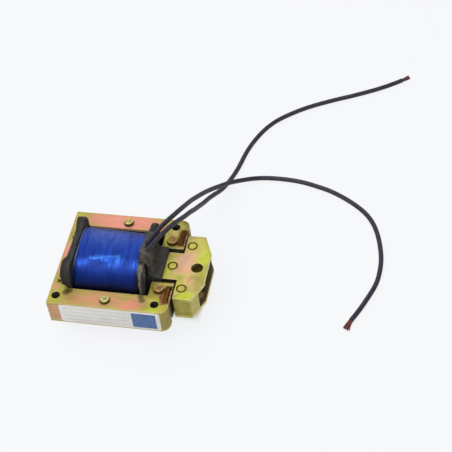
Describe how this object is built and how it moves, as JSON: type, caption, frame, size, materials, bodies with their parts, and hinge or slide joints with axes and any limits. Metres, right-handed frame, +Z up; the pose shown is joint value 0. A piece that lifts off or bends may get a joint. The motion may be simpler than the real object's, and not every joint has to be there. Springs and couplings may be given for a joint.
{
  "type": "pull electromagnet",
  "caption": "Laminated pull electromagnet: riveted steel frame round a taped coil, T-shaped plunger with a clevis nose, copper shading rings, corner holes and two stripped leads",
  "frame": {"origin": "middle of the outline seen from above without the leads, on the plane under the coil flanges that the part rests on", "axes": "+X along the pull, from the yoke to the clevis nose; +Z up through the lamination stack; -Y is the side with the label"},
  "size_m": [0.1578, 0.2069, 0.0422],
  "materials": {
    "plated_steel": "yellow chromated zinc, satin, with pink and green shimmer",
    "plated_edges": "yellow chromated lamination edges, satin",
    "rivet_steel": "yellow chromated, satin",
    "rivet_bronze": "brownish chromated, satin",
    "copper": "aged bare copper",
    "strand_copper": "bare copper strands",
    "winding_copper": "enamelled copper wire",
    "solder": "dull solder",
    "black_fibre": "worn matte fibre",
    "black_tape": "creased cloth tape",
    "blue_tape": "glossy polyester tape with wrap lines",
    "lead_black": "matte soft insulation",
    "label_paper": "bare cream label with plain blue blocks and rules"
  },
  "bodies": {
    "frame": {"frame_top_plate": "plated_steel", "frame_bottom_plate": "plated_steel", "frame_laminations": "plated_edges", "leg_rivets": "rivet_steel", "yoke_rivets": "rivet_steel", "pole_rivets": "rivet_bronze", "shading_ring_front": "copper", "shading_ring_back": "copper", "coil_tube": "black_fibre", "rear_flange": "black_fibre", "front_flange": "black_fibre", "winding": "winding_copper", "coil_wrap": "blue_tape", "lead_splices": "solder", "lead_tape": "black_tape", "lead_a": "lead_black", "lead_b": "lead_black", "lead_a_strands": "strand_copper", "lead_b_strands": "strand_copper", "label": "label_paper"},
    "plunger": {"plunger_top_plate": "plated_steel", "plunger_bottom_plate": "plated_steel", "plunger_laminations": "plated_edges", "plunger_rivets": "rivet_steel"}
  },
  "joints": [
    {"name": "plunger_slide", "type": "slide", "parent": "frame", "child": "plunger", "axis": [1, 0, 0], "range_m": [-0.0008, 0.018]}
  ]
}
